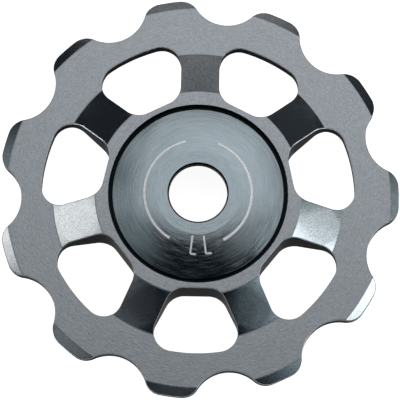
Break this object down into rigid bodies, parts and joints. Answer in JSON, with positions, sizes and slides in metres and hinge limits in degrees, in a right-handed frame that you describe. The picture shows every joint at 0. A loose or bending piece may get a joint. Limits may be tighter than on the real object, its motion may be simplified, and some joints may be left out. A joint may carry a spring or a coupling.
{
  "type": "derailleur jockey wheel",
  "caption": "Toothed chain guide wheel with sloped spokes, turning on a sealed ball bearing between two turned dust caps with an axle hole.",
  "frame": {"origin": "middle of the part: on the axle's line, half way between the two faces", "axes": "+Z along the axle, out of the front cap; the wheel's plane is XY"},
  "size_m": [0.0417, 0.0422, 0.008],
  "materials": {
    "anodised_alloy": "bead blasted and anodised grey",
    "turned_alloy": "fine turned and anodised blue grey",
    "bearing_steel": "ground",
    "ball_steel": "polished",
    "seal_rubber": "matt moulded",
    "cage_nylon": "moulded nylon"
  },
  "bodies": {
    "axle_core": {"inner_race": "bearing_steel", "front_cap": "turned_alloy", "rear_cap": "turned_alloy"},
    "wheel": {"toothed_wheel": "anodised_alloy", "outer_race": "bearing_steel", "front_seal": "seal_rubber", "rear_seal": "seal_rubber"},
    "cage": {"ball_cage": "cage_nylon"},
    "rolling_ball_1": {"ball_1": "ball_steel"},
    "rolling_ball_2": {"ball_2": "ball_steel"},
    "rolling_ball_3": {"ball_3": "ball_steel"},
    "rolling_ball_4": {"ball_4": "ball_steel"},
    "rolling_ball_5": {"ball_5": "ball_steel"},
    "rolling_ball_6": {"ball_6": "ball_steel"},
    "rolling_ball_7": {"ball_7": "ball_steel"},
    "rolling_ball_8": {"ball_8": "ball_steel"},
    "rolling_ball_9": {"ball_9": "ball_steel"}
  },
  "joints": [
    {"name": "wheel_spin", "type": "hinge", "parent": "axle_core", "child": "wheel", "pos_m": [0, 0, 0], "axis": [0, 0, 1], "continuous": true},
    {"name": "cage_spin", "type": "hinge", "parent": "axle_core", "child": "cage", "pos_m": [0, 0, 0], "axis": [0, 0, 1], "continuous": true},
    {"name": "ball_1_roll", "type": "hinge", "parent": "cage", "child": "rolling_ball_1", "pos_m": [0.0065, 0, 0], "axis": [0, 0, 1], "continuous": true},
    {"name": "ball_2_roll", "type": "hinge", "parent": "cage", "child": "rolling_ball_2", "pos_m": [0.00498, 0.00418, 0], "axis": [0, 0, 1], "continuous": true},
    {"name": "ball_3_roll", "type": "hinge", "parent": "cage", "child": "rolling_ball_3", "pos_m": [0.00113, 0.0064, 0], "axis": [0, 0, 1], "continuous": true},
    {"name": "ball_4_roll", "type": "hinge", "parent": "cage", "child": "rolling_ball_4", "pos_m": [-0.00325, 0.00563, 0], "axis": [0, 0, 1], "continuous": true},
    {"name": "ball_5_roll", "type": "hinge", "parent": "cage", "child": "rolling_ball_5", "pos_m": [-0.00611, 0.00222, 0], "axis": [0, 0, 1], "continuous": true},
    {"name": "ball_6_roll", "type": "hinge", "parent": "cage", "child": "rolling_ball_6", "pos_m": [-0.00611, -0.00222, 0], "axis": [0, 0, 1], "continuous": true},
    {"name": "ball_7_roll", "type": "hinge", "parent": "cage", "child": "rolling_ball_7", "pos_m": [-0.00325, -0.00563, 0], "axis": [0, 0, 1], "continuous": true},
    {"name": "ball_8_roll", "type": "hinge", "parent": "cage", "child": "rolling_ball_8", "pos_m": [0.00113, -0.0064, 0], "axis": [0, 0, 1], "continuous": true},
    {"name": "ball_9_roll", "type": "hinge", "parent": "cage", "child": "rolling_ball_9", "pos_m": [0.00498, -0.00418, 0], "axis": [0, 0, 1], "continuous": true}
  ],
  "couplings": [
    {"joint": "cage_spin", "follows": "wheel_spin", "ratio": 0.59158},
    {"joint": "ball_1_roll", "follows": "wheel_spin", "ratio": 2.6384},
    {"joint": "ball_2_roll", "follows": "wheel_spin", "ratio": 2.6384},
    {"joint": "ball_3_roll", "follows": "wheel_spin", "ratio": 2.6384},
    {"joint": "ball_4_roll", "follows": "wheel_spin", "ratio": 2.6384},
    {"joint": "ball_5_roll", "follows": "wheel_spin", "ratio": 2.6384},
    {"joint": "ball_6_roll", "follows": "wheel_spin", "ratio": 2.6384},
    {"joint": "ball_7_roll", "follows": "wheel_spin", "ratio": 2.6384},
    {"joint": "ball_8_roll", "follows": "wheel_spin", "ratio": 2.6384},
    {"joint": "ball_9_roll", "follows": "wheel_spin", "ratio": 2.6384}
  ]
}
